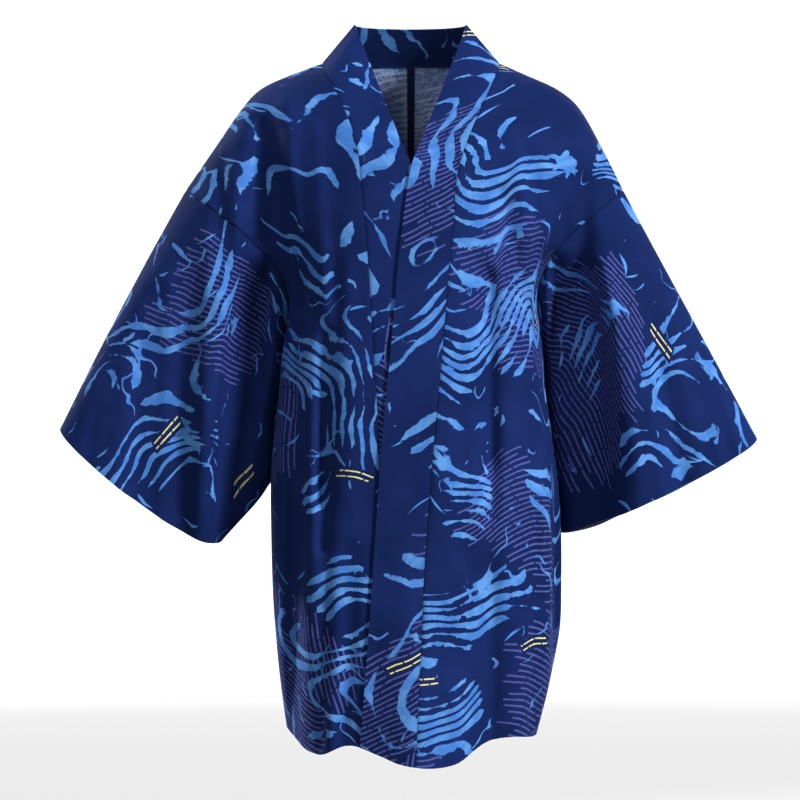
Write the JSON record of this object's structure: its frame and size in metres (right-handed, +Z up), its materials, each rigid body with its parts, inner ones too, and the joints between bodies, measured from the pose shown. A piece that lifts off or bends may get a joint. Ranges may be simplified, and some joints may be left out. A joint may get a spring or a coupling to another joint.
{
  "type": "haori jacket",
  "caption": "Open-front kimono-style jacket as worn: wide straight sleeves on dropped shoulders, a folded neck band down both fronts, left front lying over the right.",
  "frame": {"origin": "between the shoulders, midway between the two points where the neck band crosses the shoulder folds, where the wearer carries the jacket", "axes": "+Z up; -Y towards the front; +X towards the wearer's left"},
  "size_m": [0.836, 0.2657, 0.8771],
  "materials": {
    "printed_cotton": "matt plain-weave cotton, printed",
    "band_cotton": "matt plain-weave cotton, printed, doubled",
    "seam_cotton": "matt plain-weave cotton"
  },
  "bodies": {
    "root": {"body_right": "printed_cotton", "body_left": "printed_cotton", "sleeve_right": "printed_cotton", "sleeve_left": "printed_cotton", "neck_band": "band_cotton", "back_seam_strip": "seam_cotton"}
  },
  "joints": []
}
